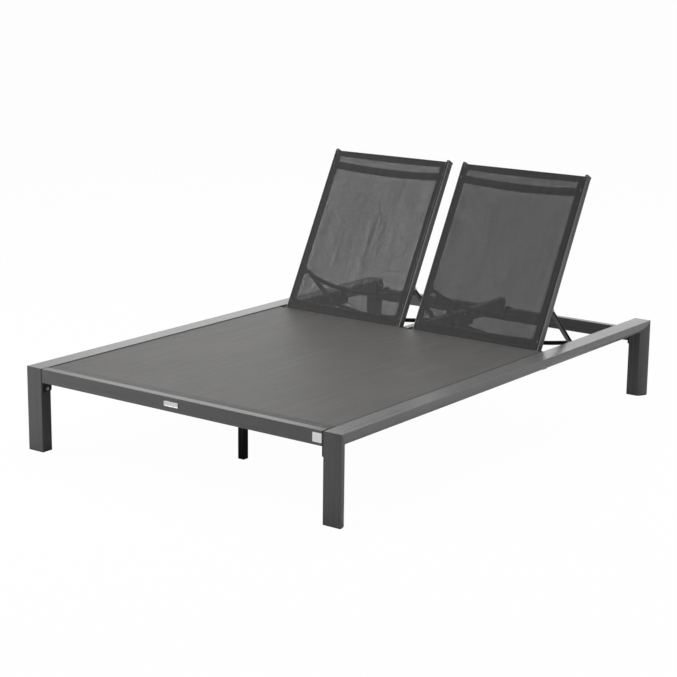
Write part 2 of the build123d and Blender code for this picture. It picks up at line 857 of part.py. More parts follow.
def prop_brackets():
    """The lugs on the inner sides of the stiles, each tapered to a round end with the pin hole."""
    hinge = prop_hinge_place
    outline = [
        (hinge - bracket_half_length, 0),
        (hinge + bracket_half_length, 0),
        (hinge + bracket_half_length, -half_depth),
        (hinge + arm_hinge_round, -prop_hinge_drop),
        (hinge - arm_hinge_round, -prop_hinge_drop),
        (hinge - bracket_half_length, -half_depth),
    ]
    lugs = []
    for x0 in (inner_stile + half_stile, outer_stile - half_stile - ear_thickness):
        x1 = x0 + ear_thickness
        lug = prism(outline, x0, x1) + rod(arm_hinge_round, x0, x1, hinge, -prop_hinge_drop)
        lug = lug - rod(hinge_pin_radius, x0 - overrun, x1 + overrun, hinge, -prop_hinge_drop)
        lugs.append(raised(lug))
    return Compound(children=lugs)


def hinge_pins():
    """The headed pins through the lugs, which the prop arms turn on."""
    reach = arm_width / 2 + ear_play
    spans = [
        (inner_arm - reach - ear_thickness, inner_arm + reach),
        (outer_arm - reach, outer_arm + reach + ear_thickness),
    ]
    pins = []
    for x0, x1 in spans:
        pin = rod(hinge_pin_radius, x0, x1, prop_hinge_place, -prop_hinge_drop)
        for start in (x0 - hinge_pin_head, x1):
            end = start + hinge_pin_head
            pin = pin + rod(hinge_pin_head_radius, start, end, prop_hinge_place, -prop_hinge_drop)
        pins.append(raised(pin))
    return Compound(children=pins)


def propped(shape):
    """A prop piece laid out flat from its hinge, turned to the photographed position."""
    return Pos(0, hinge_y, hinge_z) * Rot(prop_rest_angle, 0, 0) * shape


def prop_arm(x, side):
    """A channel arm, open towards its stile: a web with round ends, two flanges and a boss for the pin."""
    half = arm_width / 2
    web_x = sorted([x - side * half, x - side * (half - arm_wall)])
    arm = block(*web_x, 0, prop_length, -arm_front_offset, arm_back_offset)
    arm = arm + rod(arm_foot_round, *web_x, prop_length, 0)
    arm = arm + rod(arm_hinge_round, x - half, x + half, 0, 0)
    flange_end = prop_length - arm_flange_clear
    for z in (-arm_front_offset, arm_back_offset - arm_wall):
        arm = arm + block(x - half, x + half, arm_flange_clear, flange_end, z, z + arm_wall)
    arm = arm - rod(hinge_pin_radius + pivot_play, x - half - overrun, x + half + overrun, 0, 0)
    arm = arm - rod(foot_rod_radius, x - half - overrun, x + half + overrun, prop_length, 0)
    return propped(arm)


def prop_cross_bar():
    """The bowed bar that joins the two arms near their hinges."""
    x0 = inner_arm + arm_width / 2
    x1 = outer_arm - arm_width / 2
    bar = bowed_bar(prop_bar_radius, prop_bar_wall, x0, x1, prop_bar_place, 0, prop_bar_bow, (0, -1))
    return propped(bar)


def foot_rod():
    """The rod that drops into the racks: straight at its ends and bowed between the arms."""
    bend_inner = inner_arm + arm_width / 2 + foot_rod_straight
    bend_outer = outer_arm - arm_width / 2 - foot_rod_straight
    end_inner = centre_half + rack_plate + rod_end_gap
    end_outer = inner_half - rack_plate - rod_end_gap
    half = (bend_outer - bend_inner) / 2
    depth = foot_rod_bow / (1 - foot_rod_arc_share / 2)
    run = math.hypot(half, depth)
    sweep_radius = foot_rod_arc_share * run * half / depth
    route = [
        (end_inner, prop_length, 0),
        (bend_inner, prop_length, 0),
        (bend_inner + half, prop_length, -depth),
        (bend_outer, prop_length, 0),
        (end_outer, prop_length, 0),
    ]
    path = FilletPolyline(*route, radius=[foot_rod_bend, sweep_radius, foot_rod_bend])
    section = Plane(origin=path @ 0, z_dir=path % 0) * Circle(foot_rod_radius)
    return propped(sweep(section, path=path))


def frame_nodes():
    """Every piece of the standing frame."""
    right_rail = side_rail()
    right_rack = rack(inner_half, 1)
    centre_rack = rack(centre_half, -1)
    front_leg = leg(*front_bolt())
    rear_y, rear_z = rear_bolt()
    rear_leg = head_end(leg(-rear_y, rear_z))
    front_glide = glide()
    key = corner_key()
    return {
        "side_rail_right": right_rail,
        "side_rail_left": mirrored(right_rail),
        "leg_front_right": front_leg,
        "leg_front_left": mirrored(front_leg),
        "leg_rear_right": rear_leg,
        "leg_rear_left": mirrored(rear_leg),
        "leg_glides": both_sides([front_glide, head_end(front_glide)]),
        "corner_keys": both_sides([key, head_end(key)]),
        "front_rail": front_rail(),
        "rear_rail": rear_rail(),
        "end_plates": end_plates(),
        "frame_bolts": frame_bolts(),
        "centre_rail": centre_rail(),
        "centre_rail_caps": centre_rail_caps(),
        "seat_crossbar": seat_crossbar(),
        "seat_brace": seat_brace(brace_wall),
        "centre_leg": centre_leg(),
        "centre_leg_foot": centre_leg_foot(),
        "seat_sling": seat_sling(),
        "seat_splines": seat_splines(),
        "name_plate": name_plate(),
        "blank_label": blank_label(),
        "pivot_bolts": pivot_bolts(),
        "pivot_spacers": pivot_spacers(),
        "side_rack_right": right_rack,
        "side_rack_left": mirrored(right_rack),
        "centre_racks": both_sides([centre_rack]),
        "rack_screws": rack_screws(),
        "rest_bumpers": rest_bumpers(),
    }


def backrest_nodes():
    """Every piece of the right backrest."""
    return {
        "stile_outer": stile(outer_stile, 1),
        "stile_inner": stile(inner_stile, -1),
        "stile_caps": Compound(
            children=[stile_cap_piece(outer_stile), stile_cap_piece(inner_stile)]
        ),
        "top_bar": stile_bar(top_bar_radius, top_bar_place, top_bar_bow),
        "head_bar": stile_bar(head_bar_radius, head_bar_place, head_bar_bow),
        "bottom_bar": stile_bar(bottom_bar_radius, bottom_bar_place, bottom_bar_bow),
        "back_sling": back_sling(),
        "back_splines": back_splines(),
        "pivot_bushes": pivot_bushes(),
        "prop_brackets": prop_brackets(),
        "hinge_pins": hinge_pins(),
    }


def prop_nodes():
    """Every piece of the right prop."""
    return {
        "prop_arm_outer": prop_arm(outer_arm, 1),
        "prop_arm_inner": prop_arm(inner_arm, -1),
        "prop_cross_bar": prop_cross_bar(),
        "foot_rod": foot_rod(),
    }


def write_nodes():
    """Write each piece to its own file, with the left backrest and prop mirrored from the right ones."""
    nodes = frame_nodes()
    for name, shape in {**backrest_nodes(), **prop_nodes()}.items():
        nodes[name + "_right"] = shape
        nodes[name + "_left"] = mirrored(shape)
    os.makedirs("parts", exist_ok=True)
    for name, shape in nodes.items():
        export_step(shape, os.path.join("parts", name + ".step"))
    return nodes


print("backrest pivot", pivot_place, pivot_height)
print("prop hinge at rest", round(hinge_y, 3), round(hinge_z, 3))
print("prop travel", round(prop_travel, 3), "ratio", round(-prop_travel / recline, 5))
print("foot rod at rest", round(foot_rest_place, 2), "and flat", round(foot_flat_place, 2))
print("nodes", len(write_nodes()))
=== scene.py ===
import bpy
import math
from mathutils import Matrix, Vector


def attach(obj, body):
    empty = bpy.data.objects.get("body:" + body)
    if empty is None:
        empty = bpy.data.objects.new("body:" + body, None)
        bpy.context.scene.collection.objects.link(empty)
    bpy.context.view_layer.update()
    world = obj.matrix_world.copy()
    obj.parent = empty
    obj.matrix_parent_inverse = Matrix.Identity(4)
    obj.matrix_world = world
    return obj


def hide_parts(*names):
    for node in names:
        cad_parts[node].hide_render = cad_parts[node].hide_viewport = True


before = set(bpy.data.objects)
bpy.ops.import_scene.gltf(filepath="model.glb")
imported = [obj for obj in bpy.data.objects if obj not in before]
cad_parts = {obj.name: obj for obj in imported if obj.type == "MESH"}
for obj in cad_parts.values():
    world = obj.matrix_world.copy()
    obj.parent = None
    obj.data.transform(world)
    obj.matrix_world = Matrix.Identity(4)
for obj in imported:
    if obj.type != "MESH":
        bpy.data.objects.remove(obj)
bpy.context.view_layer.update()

# Places and sizes that the solids give, in metres and radians
DECK = 0.295
HALF_LENGTH = 1.0
BRACE_END = 0.593
BRACE_PLACE = -0.625
BRACE_HEIGHT = 0.255
BRACE_RADIUS = 0.014
PIVOT = Vector((0, 0.3159, 0.2795))
RECLINE = math.radians(61.92)
PROP_HINGE = Vector((0, 0.423501, 0.418515))
PROP_TURN = math.radians(-43.748)
PROP_BAR_REACH = 0.030
PROP_BAR_RADIUS = 0.008
ARM_FACES = (0.0612, 0.5402)
INNER_STILE = 0.0369
OUTER_STILE = 0.5645
HALF_STILE = 0.0055
GROOVE_OFFSET = 0.00225
STILE_MIDDLE = PIVOT.z * math.cos(RECLINE) - PIVOT.y * math.sin(RECLINE)

# The top, head and bottom bar of a backrest: how far up the stiles, how far over their middle, and radius
BACK_BARS = ((0.667, 0.0036, 0.010), (0.621, -0.0014, 0.015), (0.0373, -0.0004, 0.014))

RAISED = Matrix.Translation(PIVOT) @ Matrix.Rotation(RECLINE, 4, "X")
PROPPED = Matrix.Translation(PROP_HINGE) @ Matrix.Rotation(PROP_TURN, 4, "X")
SIDES = (("right", 1), ("left", -1))

# Seat sling, in metres
SHEET_TOP = 0.2925
SHEET_THICKNESS = 0.0012
SHEET_HALF = 0.601
SEAT_SAG = 0.0022
SEAT_FRONT = -0.9695
SEAT_WIDENS = -0.9555
SEAT_REAR = 0.2958
STRIP_HALF = 0.5925
FRONT_HEM_START = SEAT_FRONT + 0.0002
FRONT_HEM_END = -0.9355
FRONT_HEM_SINK = 0.0001
FRONT_HEM_RISE = 0.0008
FRONT_STITCHES = -0.9385
REAR_STITCHES = 0.2745
SHEET_LINES = (-0.9350, REAR_STITCHES)
FRONT_HEM_LINES = (-0.9686, -0.9372)
REAR_HEM_HALF = 0.596
REAR_HEM = (0.2715, 0.2968)
REAR_HEM_DROPS = (0.0022, 0.0010)
REAR_HEM_ROUND = 0.0005
HEM_ROUND = 0.0003
STITCHED_HALF = 0.590
SEAT_CELLS = (60, 64)
SEAT_SIDE_STEPS = (0.0015, 0.003, 0.006)
END_STEPS = (0.002, 0.005)

# Backrest slings, in metres along the stiles and over their middle
BACK_START = 0.0053
BACK_END = 0.676
BACK_SHEET = 0.0147
BACK_SAG = 0.0022
BACK_SAG_MARGIN = 0.0305
BACK_HEM = (0.01335, 0.01425)
BOTTOM_HEM_START = BACK_START - 0.0083
BOTTOM_HEM_END = 0.0335
TOP_HEM_START = 0.6585
TOP_HEM_END = BACK_END - 0.0003
SIDE_HEM = 0.0190
HEM_GAP = 0.0002
STILE_CLEARANCE = 0.0008
BACK_STITCHES = (0.0310, 0.6610)
STITCH_HEIGHT = 0.01525
BACK_CELLS = (36, 40)
BACK_SIDE_STEPS = (0.0004, 0.0009, 0.0016)
TURN_DOWN_DEPTH = 0.0006
TURN_DOWN_WIDTH = 0.0012
GROOVE_DEPTHS = (0.0013, 0.0030)

# Camera

PHOTO_WIDTH = 677.0
SENSOR_WIDTH = 36.0
CAMERA_PLACE = Vector((3.668973, -5.086524, 1.787589))
CAMERA_YAW = math.radians(36.4508)
CAMERA_PITCH = math.radians(13.2942)
CAMERA_ROLL = math.radians(0.6575)
FOCAL_PIXELS = 1779.819


def look_from(place, yaw, pitch, roll, focal_pixels):
    """A camera at a place, turned by its three angles, its focal length in pixels of the photograph."""
    back = Vector((math.sin(yaw) * math.cos(pitch), -math.cos(yaw) * math.cos(pitch), math.sin(pitch)))
    level = (-back).cross(Vector((0, 0, 1))).normalized()
    upright = level.cross(-back)
    right = level * math.cos(roll) + upright * math.sin(roll)
    up = upright * math.cos(roll) - level * math.sin(roll)
    data = bpy.data.cameras.new("photo_camera")
    data.sensor_fit = "HORIZONTAL"
    data.sensor_width = SENSOR_WIDTH
    data.lens = focal_pixels * SENSOR_WIDTH / PHOTO_WIDTH
    data.clip_start = 0.1
    data.clip_end = 400.0
    camera = bpy.data.objects.new("photo_camera", data)
    bpy.context.scene.collection.objects.link(camera)
    turned = Matrix((right, up, back)).transposed().to_4x4()
    camera.matrix_world = Matrix.Translation(place) @ turned
    bpy.context.scene.camera = camera


look_from(CAMERA_PLACE, CAMERA_YAW, CAMERA_PITCH, CAMERA_ROLL, FOCAL_PIXELS)


# Finishes

class Flow:
    """What one node sends out. Sums, products and the functions below add the nodes that they need."""

    def __init__(self, finish, socket):
        self.finish = finish
        self.socket = socket

    def maths(self, operation, *values):
        inputs = dict(enumerate(values))
        return self.finish.node("ShaderNodeMath", {"operation": operation}, inputs)

    def __add__(self, other):
        return self.maths("ADD", self, other)

    __radd__ = __add__

    def __sub__(self, other):
        return self.maths("SUBTRACT", self, other)

    def __rsub__(self, other):
        return self.maths("SUBTRACT", other, self)

    def __mul__(self, other):
        return self.maths("MULTIPLY", self, other)

    def __truediv__(self, other):
        return self.maths("DIVIDE", self, other)

    def size(self):
        return self.maths("ABSOLUTE", self)

    def sine(self):
        return self.maths("SINE", self)

    def most(self, other):
        return self.maths("MAXIMUM", self, other)

    def rise(self, start, end):
        """0 before start and 1 after end, or the other way round when end comes first."""
        settings = {"interpolation_type": "SMOOTHSTEP"}
        if start < end:
            inputs = {0: self, 1: start, 2: end, 3: 0.0, 4: 1.0}
        else:
            inputs = {0: self, 1: end, 2: start, 3: 1.0, 4: 0.0}
        return self.finish.node("ShaderNodeMapRange", settings, inputs)


class Finish:
    """One material: its nodes, and the shader that they feed."""

    def __init__(self, name, **constants):
        self.material = bpy.data.materials.new(name)
        self.material.use_nodes = True
        self.tree = self.material.node_tree
        self.shader = self.tree.nodes["Principled BSDF"]
        for socket, value in constants.items():
            self.shader.inputs[socket.replace("_", " ")].default_value = value

    def node(self, kind, settings, inputs, output=0):
        """A node with its settings made first, and then the values or links of its sockets."""
        made = self.tree.nodes.new(kind)
        for key, value in settings.items():
            setattr(made, key, value)
        for key, value in inputs.items():
            self.feed(made.inputs[key], value)
        return Flow(self, made.outputs[output])

    def feed(self, socket, value):
        if isinstance(value, Flow):
            self.tree.links.new(value.socket, socket)
        else:
            socket.default_value = value

    def place(self, turn=(0, 0, 0), stretch=(1, 1, 1)):
        """Object coordinates, turned and then stretched about the shared frame's origin."""
        point = {"vector_type": "POINT"}
        raw = self.node("ShaderNodeTexCoord", {}, {}, "Object")
        if any(turn):
            raw = self.node("ShaderNodeMapping", point, {"Vector": raw, "Rotation": turn})
        if tuple(stretch) != (1, 1, 1):
            raw = self.node("ShaderNodeMapping", point, {"Vector": raw, "Scale": stretch})
        return raw

    def axis(self, vector, which):
        return self.node("ShaderNodeSeparateXYZ", {}, {0: vector}, which)

    def noise(self, vector, scale, detail=2.0, roughness=0.5):
        inputs = {"Vector": vector, "Scale": scale, "Detail": detail, "Roughness": roughness}
        return self.node("ShaderNodeTexNoise", {"noise_dimensions": "3D"}, inputs)

    def mixed(self, share, first, second):
        """A colour between two, by share."""
        settings = {"data_type": "RGBA", "blend_type": "MIX"}
        return self.node("ShaderNodeMix", settings, {0: share, 6: first, 7: second}, 2)

    def bumped(self, height, distance, strength=1.0):
        inputs = {"Height": height, "Distance": distance, "Strength": strength}
        self.feed(self.shader.inputs["Normal"], self.node("ShaderNodeBump", {}, inputs))

    def shade(self, **flows):
        for socket, value in flows.items():
            self.feed(self.shader.inputs[socket.replace("_", " ")], value)
        return self.material


def grey(value, warm=0.0):
    """A grey of a linear value, with a little warmth."""
    return (value * (1 + warm), value, value * (1 - warm), 1.0)


# Turns that lay a pattern's Y along a tube, and the stretch that draws lines along it
ALONG_X = (0, 0, math.pi / 2)
ALONG_Y = (0, 0, 0)
ALONG_Z = (-math.pi / 2, 0, 0)
ALONG_STILE = (-RECLINE, 0, 0)
ALONG_ARM = (-PROP_TURN, 0, 0)
DRAWN_TUBE = (90, 1.6, 90)

# How far from its middle a dark line ends and where it is full, in metres: the mitre's dark joint, and the
# painted shade in the stile's groove and along the seat's hem lines
MITRE_LINE = (0.0013, 0.0004)
GROOVE_LINE = (0.0024, 0.0012)
HEM_LINE = (0.0024, 0.0006)

# Where the painted shade on the cloth beside a rail begins and is darkest, and the width of the painted
# shade at a stile, in metres
LEFT_RAIL_SHADE = (0.5885, 0.5945)
RIGHT_RAIL_SHADE = (0.5830, 0.5885)
STILE_SHADE = 0.002


def powder_coat(name, value, turn, seams=False, gloss=0.5, groove=None):
    """Satin powder coat on drawn tube: fine grain, and faint draw lines along the tube.

    With seams it has the dark mitres at the frame's top corners. With groove it has a line of painted shade
    along the sling's groove, at that height in the turned frame.
    """
    coat = Finish(name, Specular_IOR_Level=gloss)
    lines = coat.noise(coat.place(turn, DRAWN_TUBE), scale=1.0, detail=4.0, roughness=0.6)
    clouds = coat.noise(coat.place(), scale=7.0, detail=3.0)
    grain = coat.noise(coat.place(), scale=1100.0, detail=2.0, roughness=0.6)
    tone = (lines - 0.5) * 0.9 + (clouds - 0.5) * 0.5 + (grain - 0.5) * 0.35 + 0.5
    colour = coat.mixed(tone.rise(0.0, 1.0), grey(value * 0.84, 0.004), grey(value * 1.18, 0.004))
    height = grain * 0.7 + lines * 0.3
    if seams:
        spot = coat.place()
        from_end = HALF_LENGTH - coat.axis(spot, 1).size()
        from_top = DECK - coat.axis(spot, 2)
        mitre = (from_end - from_top).size().rise(*MITRE_LINE)
        colour = coat.mixed(mitre * 0.75, colour, grey(value * 0.2))
        height = height - mitre * 1.5
    if groove is not None:
        # Painted shade: the colour is darkened along the groove's line
        drawn = (coat.axis(coat.place(turn), 2) - groove).size().rise(*GROOVE_LINE)
        colour = coat.mixed(drawn * 0.7, colour, grey(value * 0.3))
        height = height - drawn * 1.2
    coat.bumped(height, distance=0.00012, strength=0.6)
    rough = 0.30 + (clouds - 0.5) * 0.10 + (grain - 0.5) * 0.12 + (lines - 0.5) * 0.10
    return coat.shade(Base_Color=colour, Roughness=rough)


def plated_steel(name):
    """Zinc-plated fasteners: turned lines, and a slightly uneven plating."""
    steel = Finish(name, Metallic=1.0)
    rings = steel.noise(steel.place(stretch=(2600, 300, 300)), scale=1.0)
    blotch = steel.noise(steel.place(), scale=220.0, detail=3.0)
    colour = steel.mixed(blotch.rise(0.3, 0.7), grey(0.42, 0.01), grey(0.62, 0.01))
    steel.bumped(rings, distance=0.00006, strength=0.5)
    return steel.shade(Base_Color=colour, Roughness=0.24 + blotch * 0.22)


def satin_aluminium(name):
    """Bare aluminium with fine brushed lines along its length."""
    plate = Finish(name, Metallic=1.0)
    brushed = plate.noise(plate.place(stretch=(26, 900, 2600)), scale=1.0, detail=3.0)
    cloud = plate.noise(plate.place(), scale=60.0)
    colour = plate.mixed(brushed.rise(0.25, 0.75), grey(0.52), grey(0.72))
    plate.bumped(brushed, distance=0.00004, strength=0.5)
    return plate.shade(Base_Color=colour, Roughness=0.28 + cloud * 0.2)


def moulded_plastic(name, value, pore=900.0):
    """Moulded plastic with a fine spark-eroded grain."""
    plastic = Finish(name, Specular_IOR_Level=0.45)
    pores = plastic.noise(plastic.place(), scale=pore, detail=3.0, roughness=0.6)
    flow = plastic.noise(plastic.place(), scale=30.0)
    share = (pores * 0.4 + flow * 0.6).rise(0.3, 0.7)
    colour = plastic.mixed(share, grey(value * 0.8), grey(value * 1.3))
    plastic.bumped(pores, distance=0.00012, strength=0.5)
    return plastic.shade(Base_Color=colour, Roughness=0.46 + (pores - 0.5) * 0.2)


def dull_rubber(name):
    """Bumper rubber: matt, with a dusty bloom."""
    rubber = Finish(name, Specular_IOR_Level=0.3)
    bloom = rubber.noise(rubber.place(), scale=90.0, detail=4.0, roughness=0.6)
    pores = rubber.noise(rubber.place(), scale=1500.0)
    colour = rubber.mixed(bloom.rise(0.35, 0.75), grey(0.018), grey(0.04))
    rubber.bumped(pores, distance=0.0001, strength=0.6)
    return rubber.shade(Base_Color=colour, Roughness=0.72 + bloom * 0.15)


def blank_film(name):
    """White film, faintly rippled where it was pressed on."""
    film = Finish(name, Specular_IOR_Level=0.5)
    ripple = film.noise(film.place(), scale=120.0)
    fibre = film.noise(film.place(), scale=1800.0)
    colour = film.mixed((ripple * 0.5 + fibre * 0.5).rise(0.3, 0.7), grey(0.86), grey(0.95))
    film.bumped(ripple * 0.8 + fibre * 0.2, distance=0.0002, strength=0.4)
    return film.shade(Base_Color=colour, Roughness=0.38 + fibre * 0.1)


def woven(name, turn, pitch, dark, light, open_share=0.0, hem_lines=(), painted_stile_shade=False, painted_rail_shade=False):
    """Plain weave of coated yarn: threads over and under, streaks along the warp, and open corners.

    At the hem lines the cloth puckers, and its colour there is darkened as painted shade. Beside the rails
    and along the stiles' edges its colour is darkened as painted shade too.
    """
    cloth = Finish(name, Specular_IOR_Level=0.2, Sheen_Weight=0.03, Sheen_Roughness=0.5)
    spot = cloth.place(turn)
    x = cloth.axis(spot, 0)
    y = cloth.axis(spot, 1)
    wave = math.pi / pitch
    quarter = math.pi / 2
    warp = (x * wave).sine().size()
    weft = (y * wave).sine().size()
    over = (x * wave + quarter).sine() * (y * wave + quarter).sine()
    height = (warp * (0.72 + over * 0.28)).most(weft * (0.72 - over * 0.28))
    streak = cloth.noise(cloth.place(turn, (75, 3.2, 40)), scale=1.0, detail=3.0, roughness=0.6)
    slub = cloth.noise(cloth.place(turn, (30, 260, 40)), scale=1.0, detail=3.0, roughness=0.6)
    cloud = cloth.noise(spot, scale=5.0, detail=3.0)
    # The colour is darker where the weave is lower: painted shade between the threads
    tone = 0.5 + (streak - 0.5) * 1.1 + (slub - 0.5) * 0.6 + (cloud - 0.5) * 0.35 + (height - 0.75) * 0.5
    colour = cloth.mixed(tone.rise(0.0, 1.0), grey(dark, 0.03), grey(light, 0.03))
    # Painted shade along each hem line, where the bump also dips
    for line in hem_lines:
        hem_pucker_and_shade = (y - line).size().rise(*HEM_LINE)
        colour = cloth.mixed(hem_pucker_and_shade * 0.85, colour, grey(dark * 0.3))
        height = height - hem_pucker_and_shade
    if painted_rail_shade:
        # Painted shade: the cloth's colour is darkened beside each rail, starting further in on the right
        shaded = (0.0 - x).rise(*LEFT_RAIL_SHADE).most(x.rise(*RIGHT_RAIL_SHADE))
        colour = cloth.mixed(shaded * 0.8, colour, grey(dark * 0.25, 0.03))
    if painted_stile_shade:
        # Painted shade: the sling's colour is darkened along both stiles' edges
        across = x.size()
        outer = OUTER_STILE - HALF_STILE
        inner = INNER_STILE + HALF_STILE
        pressed = across.rise(outer - STILE_SHADE, outer).most(across.rise(inner + STILE_SHADE, inner))
        colour = cloth.mixed(pressed * 0.8, colour, grey(dark * 0.3, 0.03))
    cloth.bumped(height, distance=0.00035, strength=0.7)
    flows = {"Base_Color": colour, "Roughness": 0.5 + (slub - 0.5) * 0.2 - height * 0.06}
    if open_share:
        edge = math.sin(quarter * math.sqrt(open_share))
        width = 1.0 + (streak - 0.5) * 1.1 + (slub - 0.5) * 0.3
        hole = (warp / width).rise(edge * 1.12, edge * 0.88) * weft.rise(edge * 1.12, edge * 0.88)
        flows["Alpha"] = 1.0 - hole
    return cloth.shade(**flows)


def thread(name, value):
    """Twisted sewing thread."""
    yarn = Finish(name, Sheen_Weight=0.1)
    twist = yarn.noise(yarn.place((0, 0, 0.6), (2400, 500, 500)), scale=1.0)
    colour = yarn.mixed(twist.rise(0.3, 0.7), grey(value * 0.7), grey(value * 1.4))
    yarn.bumped(twist, distance=0.0001, strength=0.6)
    return yarn.shade(Base_Color=colour, Roughness=0.6 + twist * 0.15)


# Linear greys of the two coats, and the pitch of the threads in metres
COAT = 0.080
BLACK = 0.009
SEAT_PITCH = 0.0013
BACK_PITCH = 0.0014

# One powder coat, copied at different greys as painted light and shade: the rails lighter, the legs darker,
# the end plates much darker, and the other copies a little lighter or darker
coat_rail_lit = powder_coat("coat_rail_lit", COAT * 1.45, ALONG_Y, seams=True, gloss=0.7)
coat_leg_shaded = powder_coat("coat_leg_shaded", COAT * 0.80, ALONG_Z, seams=True)
coat_across = powder_coat("coat_across", COAT * 0.95, ALONG_X)
coat_front = powder_coat("coat_front", COAT * 0.82, ALONG_X, gloss=0.58)
coat_middle = powder_coat("coat_middle", COAT * 0.8, ALONG_Y)
coat_plate_shaded = powder_coat("coat_plate_shaded", COAT * 0.25, ALONG_Z, gloss=0.3)
coat_stile = powder_coat("coat_stile", COAT * 1.05, ALONG_STILE, groove=STILE_MIDDLE)
coat_arm = powder_coat("coat_arm", COAT * 0.9, ALONG_ARM)
black_across = powder_coat("black_across", BLACK, ALONG_X, gloss=0.15)
black_upright = powder_coat("black_upright", BLACK, ALONG_Z, gloss=0.15)
black_rack = powder_coat("black_rack", BLACK, ALONG_Y, gloss=0.15)
steel = plated_steel("plated_steel")
aluminium = satin_aluminium("satin_aluminium")
foot_plastic = moulded_plastic("foot_plastic", 0.02)
cap_plastic = moulded_plastic("cap_plastic", 0.045)
bush_plastic = moulded_plastic("bush_plastic", 0.03, pore=1500.0)
spline_plastic = moulded_plastic("spline_plastic", 0.03, pore=1500.0)
rubber = dull_rubber("bumper_rubber")
film = blank_film("label_film")
seat_weave = woven(
    "seat_weave", ALONG_Y, SEAT_PITCH, dark=0.064, light=0.104, hem_lines=SHEET_LINES, painted_rail_shade=True,
)
hem_weave = woven(
    "hem_weave", ALONG_Y, SEAT_PITCH, dark=0.050, light=0.082, hem_lines=FRONT_HEM_LINES, painted_rail_shade=True,
)
back_weaves = {
    side: woven(
        "back_weave_" + side, ALONG_STILE, BACK_PITCH, dark=0.009, light=0.020, open_share=share,
        painted_stile_shade=True,
    )
    for side, share in (("right", 0.060), ("left", 0.092))
}
back_hem_weave = woven("back_hem_weave", ALONG_STILE, BACK_PITCH, dark=0.010, light=0.022)
dark_thread = thread("dark_thread", 0.02)

NODE_FINISHES = {
    "side_rail_right": coat_rail_lit, "side_rail_left": coat_rail_lit,
    "leg_front_right": coat_leg_shaded, "leg_front_left": coat_leg_shaded,
    "leg_rear_right": coat_leg_shaded, "leg_rear_left": coat_leg_shaded,
    "leg_glides": foot_plastic, "corner_keys": aluminium,
    "front_rail": coat_front, "rear_rail": coat_across, "seat_crossbar": coat_across,
    "end_plates": coat_plate_shaded, "frame_bolts": steel,
    "centre_rail": coat_middle, "centre_rail_caps": cap_plastic,
    "seat_brace": black_across, "centre_leg": black_upright, "centre_leg_foot": foot_plastic,
    "seat_splines": spline_plastic, "pivot_bolts": steel, "pivot_spacers": black_across,
    "side_rack_right": black_rack, "side_rack_left": black_rack, "centre_racks": black_rack,
    "rack_screws": steel, "rest_bumpers": rubber,
}
PAIRED_FINISHES = {
    "stile_outer": coat_stile, "stile_inner": coat_stile, "stile_caps": cap_plastic,
    "top_bar": coat_across, "head_bar": coat_across, "bottom_bar": coat_across,
    "back_splines": spline_plastic, "pivot_bushes": bush_plastic,
    "prop_brackets": coat_stile, "hinge_pins": steel,
    "prop_arm_outer": coat_arm, "prop_arm_inner": coat_arm,
    "prop_cross_bar": coat_across, "foot_rod": black_across,
}
for name, finish in PAIRED_FINISHES.items():
    for side, _ in SIDES:
        NODE_FINISHES[name + "_" + side] = finish
for name, finish in NODE_FINISHES.items():
    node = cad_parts[name]
    node.data.materials.clear()
    node.data.materials.append(finish)


# Making pieces

def clear():
    """Nothing selected and nothing in edit mode."""
    bpy.ops.object.select_all(action="DESELECT")


def settled(piece, name, finish, body, angle=35.0):
    """Puts the piece's place in its mesh, smooths its rounded faces, and gives it a finish and a body."""
    piece.name = name
    piece.data.name = name
    clear()
    piece.select_set(True)
    bpy.context.view_layer.objects.active = piece
    bpy.ops.object.transform_apply(location=True, rotation=True, scale=True)
    bpy.ops.object.shade_smooth_by_angle(angle=math.radians(angle))
    piece.data.materials.clear()
    piece.data.materials.append(finish)
    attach(piece, body)
    return piece


def apply_all(piece):
    """Applies every modifier of the piece in turn."""
    clear()
    piece.select_set(True)
    bpy.context.view_layer.objects.active = piece
    for modifier in list(piece.modifiers):
        bpy.ops.object.modifier_apply(modifier=modifier.name)


def joined(pieces):
    """Several meshes as one."""
    clear()
    for piece in pieces:
        piece.select_set(True)
    bpy.context.view_layer.objects.active = pieces[0]
    bpy.ops.object.join()
    return bpy.context.view_layer.objects.active


def slab(low, high, round_off, steps=3):
    """A flat piece between two corners, its edges rounded by a bevel."""
    clear()
    middle = [(a + b) / 2 for a, b in zip(low, high)]
    bpy.ops.mesh.primitive_cube_add(size=1, location=middle, scale=[b - a for a, b in zip(low, high)])
    piece = bpy.context.object
    bpy.ops.object.transform_apply(location=False, rotation=False, scale=True)
    bevel = piece.modifiers.new("rounding", "BEVEL")
    bevel.width = round_off
    bevel.segments = steps
    bevel.limit_method = "ANGLE"
    apply_all(piece)
    return piece


def cloth_sheet(columns, rows, put, thickness, kept=None):
    """A sheet of cloth as a grid, each point where put(column, row) says.

    Its thickness goes to both sides, where it has one, and kept(column, row) says which cells stay.
    """
    points = [put(x, y) for y in rows for x in columns]
    across = len(columns)
    faces = []
    for j in range(len(rows) - 1):
        for i in range(across - 1):
            if kept is None or kept((columns[i] + columns[i + 1]) / 2, (rows[j] + rows[j + 1]) / 2):
                a = j * across + i
                faces.append((a, a + 1, a + across + 1, a + across))
    mesh = bpy.data.meshes.new("cloth")
    mesh.from_pydata([tuple(p) for p in points], [], faces)
    mesh.validate()
    piece = bpy.data.objects.new("cloth", mesh)
    bpy.context.scene.collection.objects.link(piece)
    clear()
    piece.select_set(True)
    bpy.context.view_layer.objects.active = piece
    bpy.ops.object.mode_set(mode="EDIT")
    bpy.ops.mesh.select_all(action="SELECT")
    bpy.ops.mesh.delete_loose()
    bpy.ops.object.mode_set(mode="OBJECT")
    if thickness:
        solid = piece.modifiers.new("thickness", "SOLIDIFY")
        solid.thickness = thickness
        solid.offset = 0.0
        apply_all(piece)
    return piece


